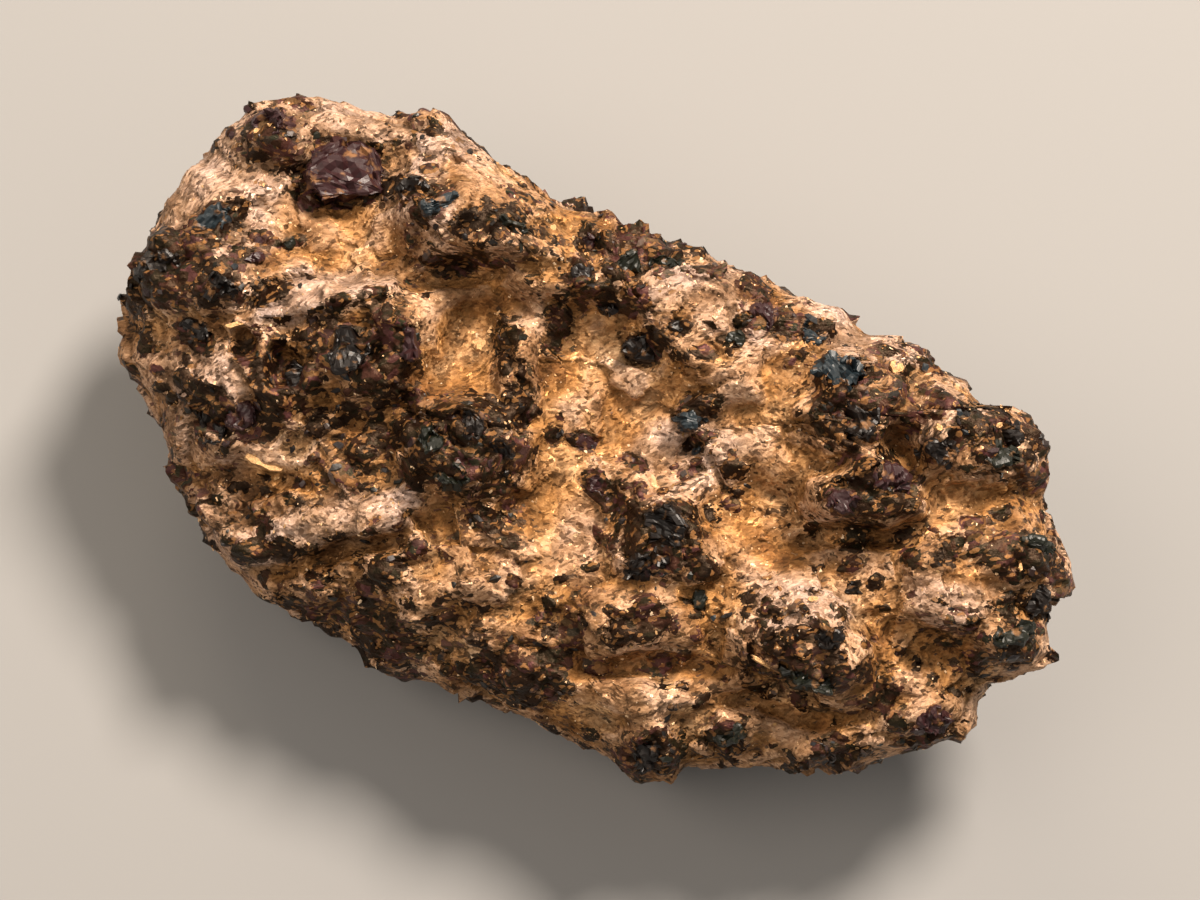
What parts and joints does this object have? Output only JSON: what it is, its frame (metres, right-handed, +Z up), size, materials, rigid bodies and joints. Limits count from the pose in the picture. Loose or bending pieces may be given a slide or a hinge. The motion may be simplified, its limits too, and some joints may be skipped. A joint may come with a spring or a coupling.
{
  "type": "alexandrite chrysoberyl",
  "caption": "A rough lump of pale mica matrix crowded with dark chrysoberyl crystals, with a craggy broad face, broken sides and a level resting spot below",
  "frame": {"origin": "middle of the footprint, on the surface that the stone rests on", "axes": "+X along the stone's length, towards its pointed end with the nose; +Z up; the broad crystal face looks up and leans towards -Y"},
  "size_m": [0.041, 0.0222, 0.0151],
  "materials": {
    "crystal_matrix": "tan and cream mica matrix with black, green-black and purple-brown crystals, satin to glassy, with bright mica glints"
  },
  "bodies": {
    "root": {"alexandrite_stone": "crystal_matrix"}
  },
  "joints": []
}
